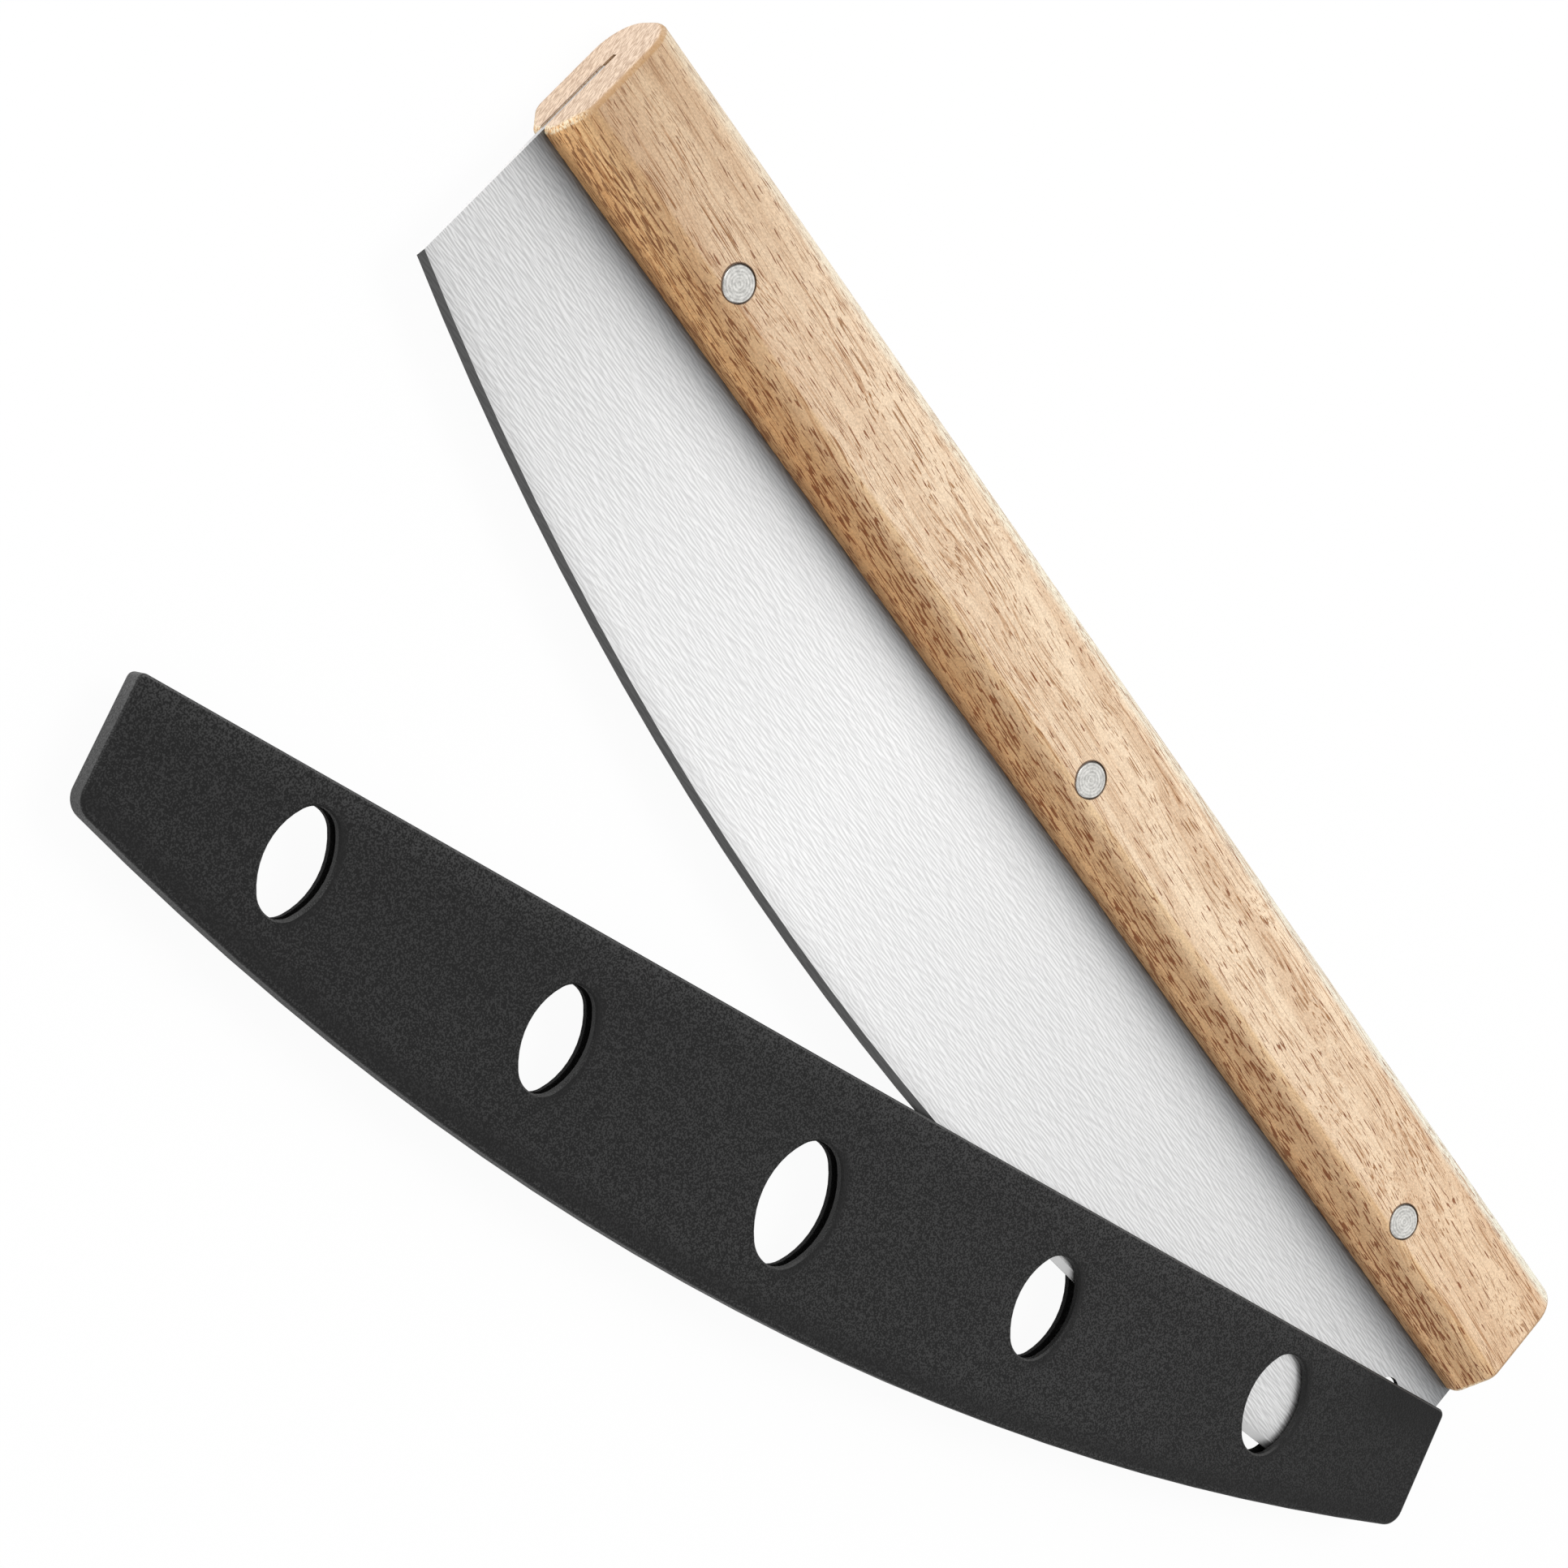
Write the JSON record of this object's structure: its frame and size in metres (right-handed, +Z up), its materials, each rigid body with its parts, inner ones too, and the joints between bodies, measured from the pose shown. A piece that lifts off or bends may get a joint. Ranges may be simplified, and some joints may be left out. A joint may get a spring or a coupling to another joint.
{
  "type": "rocking pizza knife with sheath",
  "caption": "Long rocking knife: a curved steel blade hung from a full-length wooden handle, with a loose curved blade sheath pierced by oval windows.",
  "frame": {"origin": "centre of the handle's flat underside, midway along the knife and midway across the flat, with the knife lying on that side", "axes": "+X along the knife towards the end with the hanging hole, +Y from the cutting edge towards the handle's spine, +Z up, square to the blade's flat side"},
  "size_m": [0.3659, 0.1834, 0.0204],
  "materials": {
    "handle_wood": "smooth sanded and lightly oiled, fine straight grain along the handle",
    "blade_steel": "satin, fine brushing along the blade",
    "pin_metal": "matt, faint turning rings on the ends",
    "sheath_plastic": "matt, fine spark-eroded grain"
  },
  "bodies": {
    "knife": {"handle": "handle_wood", "blade": "blade_steel", "pin_left": "pin_metal", "pin_middle": "pin_metal", "pin_right": "pin_metal"},
    "sheath": {"sheath_front": "sheath_plastic", "sheath_back": "sheath_plastic", "sheath_rim": "sheath_plastic"}
  },
  "joints": [
    {"name": "sheath_draw_off", "type": "slide", "parent": "knife", "child": "sheath", "axis": [0.3387, -0.9409, 0], "range_m": [0, 0.06]}
  ]
}
